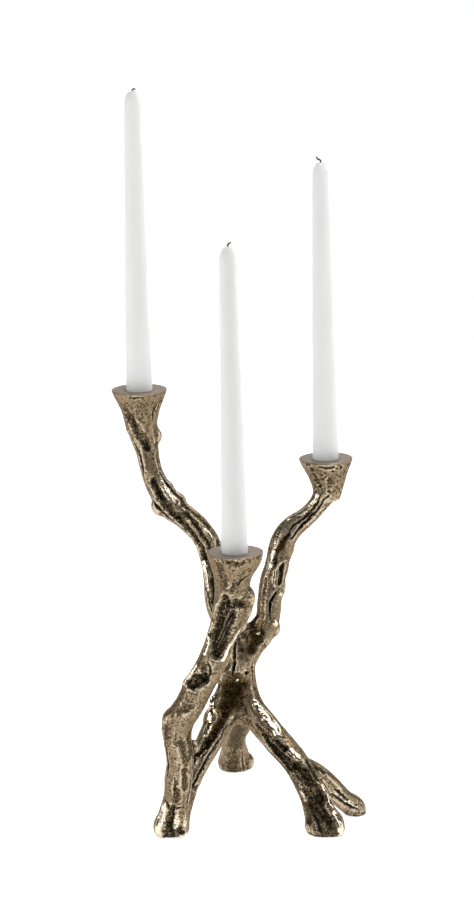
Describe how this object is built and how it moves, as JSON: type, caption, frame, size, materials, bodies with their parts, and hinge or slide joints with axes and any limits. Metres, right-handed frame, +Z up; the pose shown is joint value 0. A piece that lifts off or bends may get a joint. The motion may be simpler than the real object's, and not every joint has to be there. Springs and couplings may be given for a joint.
{
  "type": "tabletop candelabra",
  "caption": "Tabletop candelabra cast as gnarled tree branches that cross and splay into root feet, with flared cups holding tall taper candles.",
  "frame": {"origin": "on the table, under the middle of the bounding box", "axes": "+Z up along the candles; +Y towards the back foot, so the low cup and the two front feet are towards -Y; +X to the right seen from the front, towards the small side toe"},
  "size_m": [0.2288, 0.2494, 0.6712],
  "materials": {
    "cast_metal": "sand-cast with an antique brass plate: pitted, dark in the grooves and polished bright on the raised parts",
    "felt": "thin black felt",
    "steel": "plain machined steel",
    "wax": "white candle wax, satin and slightly translucent",
    "wick": "braided cotton, charred at its end"
  },
  "bodies": {
    "stand": {"trunk": "cast_metal", "branch_left": "cast_metal", "branch_front": "cast_metal", "branch_right": "cast_metal", "cup_left": "cast_metal", "cup_front": "cast_metal", "cup_right": "cast_metal", "root_left": "cast_metal", "root_right": "cast_metal", "root_back": "cast_metal", "root_spur": "cast_metal", "foot_pad_front_left": "felt", "foot_pad_front_right": "felt", "foot_pad_spur": "felt", "foot_pad_back": "felt", "joint_studs": "steel", "cup_screws": "steel"},
    "candle_left": {"taper_left": "wax", "wick_left": "wick"},
    "candle_front": {"taper_front": "wax", "wick_front": "wick"},
    "candle_right": {"taper_right": "wax", "wick_right": "wick"}
  },
  "joints": [
    {"name": "taper_left_lift", "type": "slide", "parent": "stand", "child": "candle_left", "axis": [0, 0, 1], "range_m": [0, 0.04]},
    {"name": "taper_front_lift", "type": "slide", "parent": "stand", "child": "candle_front", "axis": [0, 0, 1], "range_m": [0, 0.04]},
    {"name": "taper_right_lift", "type": "slide", "parent": "stand", "child": "candle_right", "axis": [0, 0, 1], "range_m": [0, 0.04]}
  ]
}
